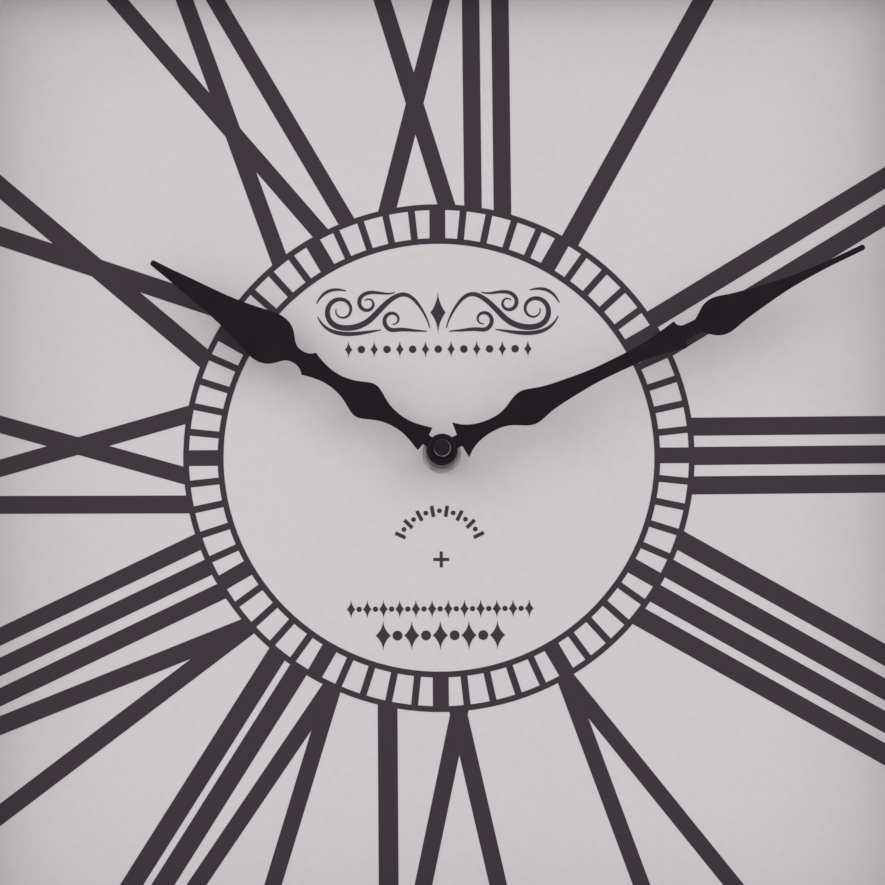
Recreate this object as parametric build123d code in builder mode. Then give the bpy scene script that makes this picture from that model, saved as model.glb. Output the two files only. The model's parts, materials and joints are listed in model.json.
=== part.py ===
from build123d import *
from math import cos, pi, radians, sin
import os

os.makedirs("parts", exist_ok=True)

# Square wall clock with large Roman numerals, spade hands and a quartz movement.
# Row frame: +Z up, the dial faces -Y, +X to the right seen from the front.
# The origin is the centre of the hanger's round hole, in the plane of the wall.

# ---------------------------------------------------------------- driving dimensions
FRAME_HALF = 200.0          # half the outer side of the square frame
SIGHT_HALF = 173.0          # half the side of the opening in front of the dial
ARBOR_DROP = 187.0          # from the hanger hole down to the arbor
DIAL_DEPTH = 26.6           # from the wall to the face of the dial sheet
LIP_DEPTH = 24.0            # from the dial sheet forward to the frame's front
BACK_GAP = 1.5              # the frame's back stands this far off the wall

SHEET = 0.3                 # dial paper
BOARD = 6.0                 # dial board
BOARD_HALF = 180.0          # half the side of the board and the sheet
PRINT = 0.1                 # ink layer

CASE_HALF = 28.0            # half the width of the movement
CASE_TOP = 21.0             # movement above the arbor
CASE_BOTTOM = 35.0          # movement below the arbor
CASE_DEPTH = 17.0
CASE_WALL = 1.2
COVER = 1.4
GASKET = 0.8

MINUTE_ANGLE = 64.6         # hands at rest, clockwise from twelve
HOUR_ANGLE = 303.4
HOUR_LIFT = 12.0            # from the dial sheet forward to the middle of each hand
MINUTE_LIFT = 15.5
HAND_PLATE = 0.5

# ---------------------------------------------------------------- levels, as depths from the wall
DIAL_Y = -DIAL_DEPTH
BOARD_FRONT_Y = DIAL_Y + SHEET
BOARD_BACK_Y = BOARD_FRONT_Y + BOARD
CASE_FRONT_Y = BOARD_BACK_Y + GASKET
CASE_BACK_Y = CASE_FRONT_Y + CASE_DEPTH
CASE_INNER_Y = CASE_FRONT_Y + CASE_WALL
COVER_INNER_Y = CASE_BACK_Y - COVER
FRAME_BACK_Y = -BACK_GAP
FRAME_FRONT_Y = DIAL_Y - LIP_DEPTH
HOUR_Y = DIAL_Y - HOUR_LIFT
MINUTE_Y = DIAL_Y - MINUTE_LIFT


def dial_plane(y, turn=0.0):
    """Plane facing the viewer at depth y, centred on the arbor, its +Y turned clockwise from twelve."""
    a = radians(turn)
    return Plane(origin=(0, y, -ARBOR_DROP), x_dir=(cos(a), 0, -sin(a)), z_dir=(0, -1, 0))


def save(item, name):
    """Labels a finished sub-part and writes it under that name."""
    item.part.label = name
    export_step(item.part, f"parts/{name}.step")


# ================================================================ frame
RAIL_TURNS = {"top": 0, "right": 90, "bottom": 180, "left": 270}
RABBET_HALF = BOARD_HALF + 0.6
OUTER_EASE, INNER_EASE = 9.0, 6.0                            # width of the rounded front edges of a rail
EASE_DEPTH = 9.0                                             # how far back they reach
POINT_LENGTH, POINT_WIDTH, POINT_THICK = 14.0, 6.0, 0.6      # framer's points that hold the board
POINT_PLACES = (-110.0, 0.0, 110.0)
POINT_DEPTH = 6.0                                            # driven this far into the rabbet's wall
BRACKET_ARM, BRACKET_WIDTH = 34.0, 11.0
BRACKET_MIDDLE = (RABBET_HALF + FRAME_HALF) / 2
SCREW_PLACES = (12.0, 28.0)                                  # along each bracket arm from its corner
SCREW_R, SCREW_HEAD_R, SCREW_LENGTH = 1.5, 2.9, 12.0
SCREW_SLOT, SCREW_CROSS, SCREW_CROSS_DEPTH = 0.7, 3.2, 0.8
HEAD_GAP = 0.05                                              # room around a screw's head
BUMPER_R, BUMPER_SPREAD = 6.0, 120.0                         # rubber bumpers at the bottom
PLATE_WIDTH, PLATE_HEIGHT, PLATE_RISE = 50.0, 16.0, 2.6      # hanger plate, its middle above the hole
PLATE_SCREWS = 19.0
KEYHOLE_R, KEYHOLE_SLOT, KEYHOLE_RISE = 4.0, 4.0, 5.0
POCKET_WIDTH, POCKET_HEIGHT, POCKET_DEPTH = 15.0, 14.0, 9.0  # room for the nail's head


def rail_plane(turn):
    """Section plane across a rail: +X runs outwards from the arbor, +Y towards the viewer."""
    a = radians(turn)
    return Plane(origin=(0, 0, -ARBOR_DROP), x_dir=(sin(a), 0, cos(a)), z_dir=(cos(a), 0, -sin(a)))


def corner_plane(turn):
    """Mitre plane through the corner that lies clockwise from the middle of a rail."""
    a = radians(turn + 45)
    return Plane(origin=(0, 0, -ARBOR_DROP), x_dir=(0, 1, 0), z_dir=(cos(a), 0, -sin(a)))


def screw_set(places):
    """Countersunk cross-head screws driven forward from the wall side, at places in dial coordinates."""
    shaft = Pos(0, 0, SCREW_LENGTH / 2) * Cylinder(SCREW_R, SCREW_LENGTH)
    head = Pos(0, 0, BACK_GAP / 2) * Cone(SCREW_HEAD_R, SCREW_R, BACK_GAP)
    cross = (Box(SCREW_SLOT, SCREW_CROSS, 2 * SCREW_CROSS_DEPTH)
             + Box(SCREW_CROSS, SCREW_SLOT, 2 * SCREW_CROSS_DEPTH))
    screw = shaft + head - cross
    return [dial_plane(0).location * Pos(x, z, 0) * screw for x, z in places]


def corner_places():
    """The screws of the four corner brackets, in dial coordinates."""
    places = []
    for sx in (-1, 1):
        for sz in (-1, 1):
            for step in SCREW_PLACES:
                places.append((sx * (BRACKET_MIDDLE - step), sz * BRACKET_MIDDLE))
                places.append((sx * BRACKET_MIDDLE, sz * (BRACKET_MIDDLE - step)))
    return places


bracket_screw_places = corner_places()
plate_level = ARBOR_DROP + PLATE_RISE
hanger_screw_places = [(-PLATE_SCREWS, plate_level), (PLATE_SCREWS, plate_level)]

for side, turn in RAIL_TURNS.items():
    with BuildPart() as rail:
        with BuildSketch(rail_plane(turn)):
            with BuildLine():
                back, front = -FRAME_BACK_Y, -FRAME_FRONT_Y
                FilletPolyline(
                    (RABBET_HALF, back), (FRAME_HALF, back), (FRAME_HALF, front - EASE_DEPTH),
                    (FRAME_HALF - 0.55 * OUTER_EASE, front - 0.28 * EASE_DEPTH),
                    (FRAME_HALF - OUTER_EASE, front), (SIGHT_HALF + INNER_EASE, front),
                    (SIGHT_HALF + 0.25 * INNER_EASE, front - 0.39 * EASE_DEPTH),
                    (SIGHT_HALF, front - EASE_DEPTH), (SIGHT_HALF, DIAL_DEPTH), (RABBET_HALF, DIAL_DEPTH),
                    close=True, radius=(0.4, 0.8, 3, 1.5, 3, 3, 1.5, 3, 0.3, 0.3))
            make_face()
        extrude(amount=1.1 * FRAME_HALF, both=True)
        split(bisect_by=corner_plane(turn), keep=Keep.BOTTOM)
        split(bisect_by=corner_plane(turn - 90), keep=Keep.TOP)
        for place in POINT_PLACES:
            slot = dial_plane(BOARD_BACK_Y + POINT_THICK / 2, turn)
            with Locations(slot.location * Pos(place, RABBET_HALF, 0)):
                Box(POINT_WIDTH, 2 * POINT_DEPTH, POINT_THICK, mode=Mode.SUBTRACT)
        for x, z in bracket_screw_places + (hanger_screw_places if side == "top" else []):
            with Locations(dial_plane(FRAME_BACK_Y).location * Pos(x, z, (SCREW_LENGTH - BACK_GAP) / 2)):
                Cylinder(SCREW_R, SCREW_LENGTH - BACK_GAP, mode=Mode.SUBTRACT)
        if side == "top":
            with Locations((0, FRAME_BACK_Y - POCKET_DEPTH / 2, KEYHOLE_RISE / 2)):
                Box(POCKET_WIDTH, POCKET_DEPTH, POCKET_HEIGHT, mode=Mode.SUBTRACT)
    save(rail, f"frame_rail_{side}")

with BuildPart() as framer_points:
    for turn in RAIL_TURNS.values():
        with BuildSketch(dial_plane(BOARD_BACK_Y + POINT_THICK, turn)):
            for place in POINT_PLACES:
                with Locations((place, RABBET_HALF + POINT_DEPTH - POINT_LENGTH / 2)):
                    Rectangle(POINT_WIDTH, POINT_LENGTH)
        extrude(amount=POINT_THICK)
save(framer_points, "framer_points")

with BuildPart() as corner_brackets:
    with BuildSketch(dial_plane(0)):
        reach = BRACKET_MIDDLE + BRACKET_WIDTH / 2
        for quarter in range(4):
            with BuildLine(Plane.XY.rotated((0, 0, 90 * quarter))):
                inner = reach - BRACKET_WIDTH
                FilletPolyline(
                    (reach, reach), (reach - BRACKET_ARM, reach), (reach - BRACKET_ARM, inner),
                    (inner, inner), (inner, reach - BRACKET_ARM), (reach, reach - BRACKET_ARM),
                    close=True, radius=2)
            make_face()
    extrude(amount=BACK_GAP)
    for x, z in bracket_screw_places:
        with Locations(dial_plane(0).location * Pos(x, z, BACK_GAP / 2)):
            Cylinder(SCREW_HEAD_R + HEAD_GAP, BACK_GAP, mode=Mode.SUBTRACT)
save(corner_brackets, "corner_brackets")

screws = screw_set(bracket_screw_places)
with BuildPart() as bracket_screws:
    add(screws)
save(bracket_screws, "bracket_screws")

with BuildPart() as hanger_plate:
    with BuildSketch(dial_plane(0)):
        with Locations((0, plate_level)):
            RectangleRounded(PLATE_WIDTH, PLATE_HEIGHT, 4)
        with Locations((0, ARBOR_DROP)):
            Circle(KEYHOLE_R, mode=Mode.SUBTRACT)
        with Locations((0, ARBOR_DROP + KEYHOLE_RISE / 2)):
            SlotCenterToCenter(KEYHOLE_RISE, KEYHOLE_SLOT, rotation=90, mode=Mode.SUBTRACT)
    extrude(amount=BACK_GAP)
    for x, z in hanger_screw_places:
        with Locations(dial_plane(0).location * Pos(x, z, BACK_GAP / 2)):
            Cylinder(SCREW_HEAD_R + HEAD_GAP, BACK_GAP, mode=Mode.SUBTRACT)
save(hanger_plate, "hanger_plate")

screws = screw_set(hanger_screw_places)
with BuildPart() as hanger_screws:
    add(screws)
save(hanger_screws, "hanger_screws")

with BuildPart() as wall_bumpers:
    with BuildSketch(dial_plane(0)):
        with Locations((-BUMPER_SPREAD, -BRACKET_MIDDLE), (BUMPER_SPREAD, -BRACKET_MIDDLE)):
            Circle(BUMPER_R)
    extrude(amount=BACK_GAP)
    fillet(wall_bumpers.edges().group_by(Axis.Y)[-1], 0.6)
save(wall_bumpers, "wall_bumpers")

# ================================================================ dial
BUSH_R = 4.0                # threaded bushing
DIAL_HOLE_R = 4.3
RING_OUTER, RING_INNER, RING_LINE = 91.6, 77.2, 2.05
MINUTE_BLOCK, HOUR_BLOCK = 2.45, 5.65
BORDER_HALF, BORDER_LINE = 170.5, 2.0
BORDER_INNER = BORDER_HALF - BORDER_LINE
PRINT_SHIFT = (-0.9, -1.0)  # the print sits a little off the arbor

with BuildPart() as dial_board:
    with BuildSketch(dial_plane(BOARD_BACK_Y)):
        Rectangle(2 * BOARD_HALF, 2 * BOARD_HALF)
        Circle(DIAL_HOLE_R, mode=Mode.SUBTRACT)
    extrude(amount=BOARD)
save(dial_board, "dial_board")

with BuildPart() as dial_sheet:
    with BuildSketch(dial_plane(BOARD_FRONT_Y)):
        Rectangle(2 * BOARD_HALF, 2 * BOARD_HALF)
        Circle(DIAL_HOLE_R, mode=Mode.SUBTRACT)
    extrude(amount=SHEET)
save(dial_sheet, "dial_sheet")


def print_plane():
    """The face of the dial sheet, centred on the print."""
    return dial_plane(DIAL_Y).shift_origin(dial_plane(DIAL_Y).from_local_coords((*PRINT_SHIFT, 0)))


def bars(lean, width, *lefts):
    """Parallel strokes that lean clockwise from twelve, each this far left of the centre as it runs out."""
    return [(lean, left, width) for left in lefts]


def pair(lean_a, left_a, lean_b, left_b, width=6.1):
    """The two crossing strokes of a V or an X."""
    return [(lean_a, left_a, width), (lean_b, left_b, width)]


NUMERALS = {
    "I": bars(29.2, 6.8, -3.6),
    "II": bars(58.8, 6.8, 2.2, -9.4),
    "III": bars(89.8, 6.5, 10.0, -0.6, -11.2),
    "IIII": bars(119.8, 7.0, 16.2, 5.4, -4.8, -14.9),
    "V": pair(160.2, 14.6, 141.6, -14.4, 5.8),
    "VI": pair(192.2, 25.8, 167.4, -14.0) + bars(180.0, 7.0, -19.0),
    "VII": pair(214.4, 14.2, 197.2, -12.2, 5.9) + bars(212.4, 7.0, -2.0, -11.4),
    "VIII": pair(248.4, 31.0, 233.0, 7.2, 6.4) + bars(244.6, 6.0, 9.8, 0.0, -9.8),
    "IX": pair(254.2, -39.6, 286.0, 31.2) + bars(270.2, 6.4, 17.0),
    "X": pair(310.6, 27.4, 288.8, -25.8, 6.8),
    "XI": pair(340.4, 29.6, 319.6, -20.6, 6.0) + bars(330.0, 6.0, -14.4),
    "XII": pair(14.6, 40.0, 343.2, -29.6) + bars(359.8, 6.3, -13.2, -23.8),
}

with BuildPart() as numerals_print:
    with BuildSketch(print_plane()):
        for strokes in NUMERALS.values():
            for lean, left, width in strokes:
                a = radians(lean)
                middle = (sin(a) * BORDER_HALF - cos(a) * left, cos(a) * BORDER_HALF + sin(a) * left)
                with Locations(Location((*middle, 0), (0, 0, -lean))):
                    Rectangle(width, 2 * BORDER_HALF)
        Rectangle(2 * BORDER_INNER, 2 * BORDER_INNER, mode=Mode.INTERSECT)
        Circle(RING_OUTER, mode=Mode.SUBTRACT)
    extrude(amount=PRINT)
save(numerals_print, "numerals_print")

with BuildPart() as border_print:
    with BuildSketch(print_plane()):
        Rectangle(2 * BORDER_HALF, 2 * BORDER_HALF)
        Rectangle(2 * BORDER_INNER, 2 * BORDER_INNER, mode=Mode.SUBTRACT)
    extrude(amount=PRINT)
save(border_print, "border_print")

with BuildPart() as minute_ring_print:
    with BuildSketch(print_plane()):
        for outer in (RING_OUTER, RING_INNER + RING_LINE):
            Circle(outer)
            Circle(outer - RING_LINE, mode=Mode.SUBTRACT)
        middle = (RING_OUTER + RING_INNER) / 2
        depth = RING_OUTER - RING_INNER - RING_LINE
        with PolarLocations(middle, 60):
            Rectangle(depth, MINUTE_BLOCK)
        with PolarLocations(middle, 12):
            Rectangle(depth, HOUR_BLOCK)
    extrude(amount=PRINT)
save(minute_ring_print, "minute_ring_print")

# Plain ornament in place of lettering: a scroll, three rows of lozenges and beads, an arc and a plus.
SCROLL_Z = 52.2
SCROLL_STROKES = (          # widest, then points outwards from the centre: x, height; then a curl
    (2.1, [(3.0, -5.6), (6.0, 1.4), (12.0, 6.6), (19.0, 3.0), (26.0, -3.6)],
     (34.6, 0.9, 6.6, 2.0, -105, 480)),
    (1.5, [(4.0, -6.8), (9.5, -6.4)], (16.2, -2.6, 4.1, 1.5, 240, 400)),
    (1.4, [(15.5, 7.4), (21.0, 7.2)], (25.2, 3.4, 3.7, 1.4, 80, -400)),
    (1.5, [(20.5, -6.2), (30.5, -7.6), (38.0, -6.6), (43.2, -1.4)], None),
    (1.1, [(33.0, 8.0), (40.0, 7.6), (43.6, 3.4)], None),
)
ORNAMENT_ROWS = (           # height, reach to each side, count, lozenge width and height, bead radius
    (38.9, 32.2, 15, 2.7, 6.0, 1.35),
    (-54.7, 31.8, 23, 3.1, 6.5, 0.95),
    (-64.2, 20.4, 9, 5.4, 10.4, 1.75),
)
ARC_CENTRE_Z, ARC_R, ARC_SPREAD, ARC_COUNT = -35.1, 15.6, 64.0, 15
ARC_DASH, ARC_BEAD = (1.3, 4.0), 0.85
PLUS_X, PLUS_Z, PLUS_REACH, PLUS_LINE = 0.5, -37.0, 5.7, 1.1
HOLLOW = 0.375              # how far a lozenge's sides curve in; 0.5 is straight
PEN_TIP = 0.35              # width at the ends of a stroke


def lozenge(width, height):
    """A diamond with hollow sides."""
    corners = [(width / 2, 0), (0, height / 2), (-width / 2, 0), (0, -height / 2)]
    with BuildSketch() as diamond:
        with BuildLine():
            for (x1, y1), (x2, y2) in zip(corners, corners[1:] + corners[:1]):
                ThreePointArc((x1, y1), ((x1 + x2) * HOLLOW, (y1 + y2) * HOLLOW), (x2, y2))
        make_face()
    return diamond.sketch


def curl(cx, cy, start_r, end_r, start_deg, sweep_deg, steps=10):
    """Points of a spiral that winds in about (cx, cy)."""
    points = []
    for i in range(steps):
        part = i / (steps - 1)
        r = start_r * (end_r / start_r) ** part
        a = radians(start_deg + sweep_deg * part)
        points.append((cx + r * cos(a), cy + r * sin(a)))
    return points


def pen_stroke(points, widest):
    """A stroke along a smooth line, swelling in its middle and thin at both ends."""
    with BuildLine() as spine:
        Spline(points)
    line = spine.edges()[0]
    steps = 3 * len(points)
    edges = {1: [], -1: []}
    for i in range(steps + 1):
        part = i / steps
        place, along = line.position_at(part), line.tangent_at(part)
        half = (PEN_TIP + (widest - PEN_TIP) * sin(pi * part)) / 2
        for hand, edge in edges.items():
            edge.append((place.X - hand * half * along.Y, place.Y + hand * half * along.X))
    with BuildSketch() as stroke:
        with BuildLine():
            Spline(edges[1])
            Line(edges[1][-1], edges[-1][-1])
            Spline(edges[-1])
            Line(edges[-1][0], edges[1][0])
        make_face()
    return stroke.sketch


with BuildPart() as ornament_print:
    with BuildSketch(print_plane()):
        for hand in (1, -1):
            for widest, points, end in SCROLL_STROKES:
                whole = points + (curl(*end) if end else [])
                add(pen_stroke([(hand * x, SCROLL_Z + y) for x, y in whole], widest))
        with Locations((0, SCROLL_Z)):
            add(lozenge(5.4, 15.6))
        for height, reach, count, width, tall, bead in ORNAMENT_ROWS:
            for i in range(count):
                with Locations(((2 * i / (count - 1) - 1) * reach, height)):
                    if i % 2:
                        Circle(bead)
                    else:
                        add(lozenge(width, tall))
        for i in range(ARC_COUNT):
            a = (2 * i / (ARC_COUNT - 1) - 1) * ARC_SPREAD
            place = (ARC_R * sin(radians(a)), ARC_CENTRE_Z + ARC_R * cos(radians(a)))
            with Locations(Location((*place, 0), (0, 0, -a))):
                if i % 2:
                    Circle(ARC_BEAD)
                else:
                    Rectangle(*ARC_DASH)
        with Locations((PLUS_X, PLUS_Z)):
            Rectangle(PLUS_REACH, PLUS_LINE)
            Rectangle(PLUS_LINE, PLUS_REACH)
    extrude(amount=PRINT)
save(ornament_print, "ornament_print")

# ================================================================ hands
PIPE_R = 1.75               # minute pipe
PIPE_TIP_R = 1.6
PIPE_FLATS = 2.2
PIPE_TIP = 1.3              # the pipe stands this far in front of the minute hand
HOUR_TUBE_R = 2.55
FIT_GAP = 0.05              # running fit, on the radius
CAP_R, CAP_DISH_R, CAP_DISH = 3.25, 1.95, 0.35
CAP_TOP_Y = DIAL_Y - 18.0
CAP_BORE = 1.5              # depth of the cap's thread on the minute pipe
COLLET, COLLET_WALL = 2.2, 1.0
HOUR_BACK_Y = HOUR_Y + HAND_PLATE / 2
MINUTE_BACK_Y = MINUTE_Y + HAND_PLATE / 2
MINUTE_FRONT_Y = MINUTE_Y - HAND_PLATE / 2


def spade_hand(hub, neck, barb, lower, collar, point, tip):
    """Outline of a serpentine spade hand that points along +Y from the arbor.

    Its points are (half width, distance from the arbor); the same half is drawn on both sides.
    """
    round_start = tip[1] - 0.8 * tip[0]
    with BuildSketch() as blade:
        for hand in (1, -1):
            waist = [(hand * x, y) for x, y in lower]
            notch = [(hand * x, y) for x, y in collar]
            spade = [(hand * x, y) for x, y in point]
            with BuildLine():
                Polyline((0, 0), (hand * neck[0], 0), (hand * neck[0], neck[1]), (hand * barb[0], barb[1]),
                         waist[0])
                Spline(waist)
                Line(waist[-1], notch[0])
                Spline(notch)
                Line(notch[-1], spade[0])
                Spline(spade)
                Line(spade[-1], (hand * tip[0], round_start))
                ThreePointArc((hand * tip[0], round_start), (hand * 0.66 * tip[0], tip[1] - 0.2 * tip[0]),
                              (0, tip[1]))
                Line((0, tip[1]), (0, 0))
            make_face()
        Circle(hub)
    return blade.sketch


def flatted(radius, flats):
    """A round section with two flats."""
    with BuildSketch() as section:
        Circle(radius)
        Rectangle(flats, 2 * radius, mode=Mode.INTERSECT)
    return section.sketch


MINUTE_OUTLINE = dict(
    hub=5.4, neck=(2.2, 6.9), barb=(6.95, 7.3),
    lower=[(6.2, 8.2), (4.7, 10.2), (2.85, 14.8), (2.2, 20), (2.95, 25.4), (5.0, 29.6), (6.4, 33.5),
           (5.2, 39.6), (3.5, 50), (2.6, 60), (2.55, 70), (2.9, 80), (3.7, 86), (5.3, 94.2)],
    collar=[(5.2, 94.4), (3.2, 95.4), (2.6, 97.4)],
    point=[(2.6, 101.5), (3.8, 103.2), (6.2, 106.7), (6.95, 110.4), (6.0, 115), (3.95, 125), (2.35, 135),
           (1.45, 145), (1.05, 154)],
    tip=(1.0, 167.8))

HOUR_OUTLINE = dict(
    hub=5.5, neck=(1.9, 6.8), barb=(4.8, 7.2),
    lower=[(4.5, 8.1), (3.9, 9.8), (2.55, 15), (2.4, 19), (3.6, 24.8), (5.4, 28.5), (6.75, 32.4),
           (4.9, 37.5), (3.1, 42.5), (2.6, 47), (3.4, 52.6), (4.7, 56.6)],
    collar=[(4.6, 56.8), (3.2, 58.6), (2.65, 61)],
    point=[(2.7, 62.2), (3.9, 64.8), (6.4, 67.1), (8.5, 70), (9.25, 74.6), (8.1, 80), (5.6, 90),
           (3.35, 105), (1.9, 115.4)],
    tip=(1.05, 124.0))

with BuildPart() as minute_hand:
    with BuildSketch(dial_plane(MINUTE_BACK_Y, MINUTE_ANGLE)):
        add(spade_hand(**MINUTE_OUTLINE))
        add(flatted(PIPE_TIP_R, PIPE_FLATS), mode=Mode.SUBTRACT)
    extrude(amount=HAND_PLATE)
save(minute_hand, "minute_hand")

with BuildPart() as hour_hand:
    with BuildSketch(dial_plane(HOUR_BACK_Y, HOUR_ANGLE)):
        add(spade_hand(**HOUR_OUTLINE))
        Circle(HOUR_TUBE_R, mode=Mode.SUBTRACT)
    extrude(amount=HAND_PLATE)
save(hour_hand, "hour_hand")

with BuildPart() as hour_hand_collet:
    with BuildSketch(dial_plane(HOUR_BACK_Y + COLLET)):
        Circle(HOUR_TUBE_R + COLLET_WALL)
        Circle(HOUR_TUBE_R, mode=Mode.SUBTRACT)
    extrude(amount=COLLET)
save(hour_hand_collet, "hour_hand_collet")

with BuildPart() as cap_nut:
    with BuildSketch(dial_plane(MINUTE_FRONT_Y)):
        Circle(CAP_R)
    extrude(amount=MINUTE_FRONT_Y - CAP_TOP_Y)
    fillet(cap_nut.edges().group_by(Axis.Y)[0], 0.7)
    with BuildSketch(dial_plane(MINUTE_FRONT_Y)):
        Circle(PIPE_TIP_R)
    extrude(amount=CAP_BORE, mode=Mode.SUBTRACT)
    with BuildSketch(dial_plane(CAP_TOP_Y)):
        Circle(CAP_DISH_R)
    extrude(amount=-CAP_DISH, mode=Mode.SUBTRACT)
save(cap_nut, "cap_nut")

# ================================================================ movement: fixing to the dial
WASHER_R, WASHER = 7.05, 0.8
NUT_FLAT, NUT, NUT_FACE_R, NUT_TAPER = 12.0, 2.5, 6.6, 12     # NUT_FACE_R is where its corners are turned off
NUT_Y = DIAL_Y - WASHER
BUSH_FRONT_Y = DIAL_Y - 6.5
FLANGE_R = 5.4              # hexagon under the bushing's thread, inside the gasket
GASKET_R, GASKET_HOLE_R = 11.0, 6.0
TUBE_FRONT_Y = HOUR_Y - HAND_PLATE / 2

with BuildPart() as threaded_bushing:
    with BuildSketch(dial_plane(CASE_INNER_Y)):
        Circle(BUSH_R)
    extrude(amount=CASE_INNER_Y - BUSH_FRONT_Y)
    with BuildSketch(dial_plane(CASE_FRONT_Y)):
        RegularPolygon(FLANGE_R, 6)
    extrude(amount=GASKET)
    chamfer(threaded_bushing.edges().group_by(Axis.Y)[0], 0.4)
    with BuildSketch(dial_plane(CASE_INNER_Y)):
        Circle(HOUR_TUBE_R + FIT_GAP)
    extrude(amount=CASE_INNER_Y - BUSH_FRONT_Y, mode=Mode.SUBTRACT)
save(threaded_bushing, "threaded_bushing")

with BuildPart() as rubber_gasket:
    with BuildSketch(dial_plane(CASE_FRONT_Y)):
        Circle(GASKET_R)
        Circle(GASKET_HOLE_R, mode=Mode.SUBTRACT)
    extrude(amount=GASKET)
save(rubber_gasket, "rubber_gasket")

with BuildPart() as dial_washer:
    with BuildSketch(dial_plane(DIAL_Y)):
        Circle(WASHER_R)
        Circle(BUSH_R + 0.15, mode=Mode.SUBTRACT)
    extrude(amount=WASHER)
    fillet(dial_washer.edges().group_by(Axis.Y)[0], 0.25)
save(dial_washer, "dial_washer")

with BuildPart() as bushing_nut:
    with BuildSketch(dial_plane(NUT_Y)):
        RegularPolygon(NUT_FLAT / 2, 6, major_radius=False)
    extrude(amount=NUT)
    with BuildSketch(dial_plane(NUT_Y)):
        Circle(NUT_FACE_R)
    extrude(amount=NUT, taper=NUT_TAPER, mode=Mode.INTERSECT)
    with BuildSketch(dial_plane(NUT_Y)):
        Circle(BUSH_R)
    extrude(amount=NUT, mode=Mode.SUBTRACT)
save(bushing_nut, "bushing_nut")

# ================================================================ movement: wheel train
# The wheels turn on arbors held between the case, or the stator, and the train plate.
PLATE = 0.8                                 # thickness of the train plate
PLATE_FRONT_Y = COVER_INNER_Y - 4.1
PLATE_BACK_Y = PLATE_FRONT_Y + PLATE
BLIND = 0.7                                 # depth of the pivot holes in the case
PIVOT_GAP = 0.05
PILLAR_R = 0.9

HOUR_WHEEL_Y = CASE_INNER_Y + 0.4           # front faces of the layers of wheels
MOTION_Y = CASE_INNER_Y + 1.7
CENTRE_Y = CASE_INNER_Y + 3.7
STATOR_Y, STATOR = CASE_INNER_Y + 4.6, 0.8
THIRD_Y = CASE_INNER_Y + 5.9
SECONDS_Y = CASE_INNER_Y + 7.5
INTER_Y = CASE_INNER_Y + 8.9

HAND_MODULE, TUBE_MODULE = 0.40, 0.384
THIRD_MODULE, CENTRE_MODULE = 0.25, 0.2361
SECONDS_MODULE, ROTOR_MODULE = 0.25, 0.20


def polar(place, reach, angle):
    """The point at a distance and direction (anticlockwise from +X) from another, in dial coordinates."""
    return (place[0] + reach * cos(radians(angle)), place[1] + reach * sin(radians(angle)))


def centres(module, teeth_a, teeth_b):
    return module * (teeth_a + teeth_b) / 2


HAND_REACH = centres(HAND_MODULE, 12, 36)
ARBOR = (0.0, 0.0)
THIRD_DIR, INTER_DIR, ROTOR_DIR, MOTION_DIR, KNOB_DIR = -35.0, 155.0, 153.0, 215.0, 200.0
THIRD = polar(ARBOR, centres(THIRD_MODULE, 8, 60), THIRD_DIR)
INTER = polar(ARBOR, centres(SECONDS_MODULE, 8, 48), INTER_DIR)
ROTOR = polar(INTER, centres(ROTOR_MODULE, 8, 40), ROTOR_DIR)
MOTION = polar(ARBOR, HAND_REACH, MOTION_DIR)
KNOB = polar(MOTION, HAND_REACH, KNOB_DIR)


def mesh_phase(phase, teeth, direction, mate_teeth):
    """Angle of a tooth on a mating wheel, so that the teeth interleave on the line of centres."""
    offset = (phase - direction) * teeth / 360
    return direction + 180 + (0.5 - offset) * 360 / mate_teeth


def wheel_at(place, teeth, module, phase, y_front, thick, slim=1.0):
    """A clock wheel or pinion: straight flanks, a small flat on each tooth, slack for backlash."""
    pitch = 360 / teeth
    radius = module * teeth / 2
    root, tip = radius - 1.25 * module, radius + 0.85 * module
    tooth = [(root, -0.27), (radius, -0.195), (tip, -0.07), (tip, 0.07), (radius, 0.195), (root, 0.27)]
    points = []
    for i in range(teeth):
        points += [polar(place, r, phase + (i + part * slim) * pitch) for r, part in tooth]
    with BuildSketch(dial_plane(y_front + thick)) as wheel:
        with BuildLine():
            Polyline(*points, close=True)
        make_face()
    extrude(wheel.sketch, amount=thick)


def disc_at(place, radius, y_front, y_back, mode=Mode.ADD):
    """A round length from y_front back to y_back."""
    with BuildSketch(dial_plane(y_back)) as disc:
        with Locations(place):
            Circle(radius)
    extrude(disc.sketch, amount=y_back - y_front, mode=mode)


ARBOR_R, SECONDS_ARBOR_R, KNOB_ARBOR_R, PIPE_BORE_R = 0.4, 0.5, 0.9, 0.6
ARBOR_FRONT_Y = CASE_INNER_Y - BLIND + 0.1
WHEEL = 0.8                                 # thickness of the hands' wheels
THIN_WHEEL = 0.6                            # and of the going train's
WINDOW_REACH, WINDOW_R = 4.6, 1.3           # holes in the web of the centre wheel

phase_minute = 90.0
phase_motion = mesh_phase(phase_minute, 12, MOTION_DIR, 36)
phase_knob = mesh_phase(phase_motion, 36, KNOB_DIR, 12)
phase_motion_pinion = 0.0
phase_hour = mesh_phase(phase_motion_pinion, 10, MOTION_DIR + 180, 40)
phase_centre = 0.0
phase_third_pinion = mesh_phase(phase_centre, 64, THIRD_DIR, 8)
phase_third = 0.0
phase_seconds_pinion = mesh_phase(phase_third, 60, THIRD_DIR + 180, 8)
phase_seconds = 0.0
phase_inter_pinion = mesh_phase(phase_seconds, 48, INTER_DIR, 8)
phase_inter = 0.0
phase_rotor = mesh_phase(phase_inter, 40, ROTOR_DIR, 8)

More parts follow.
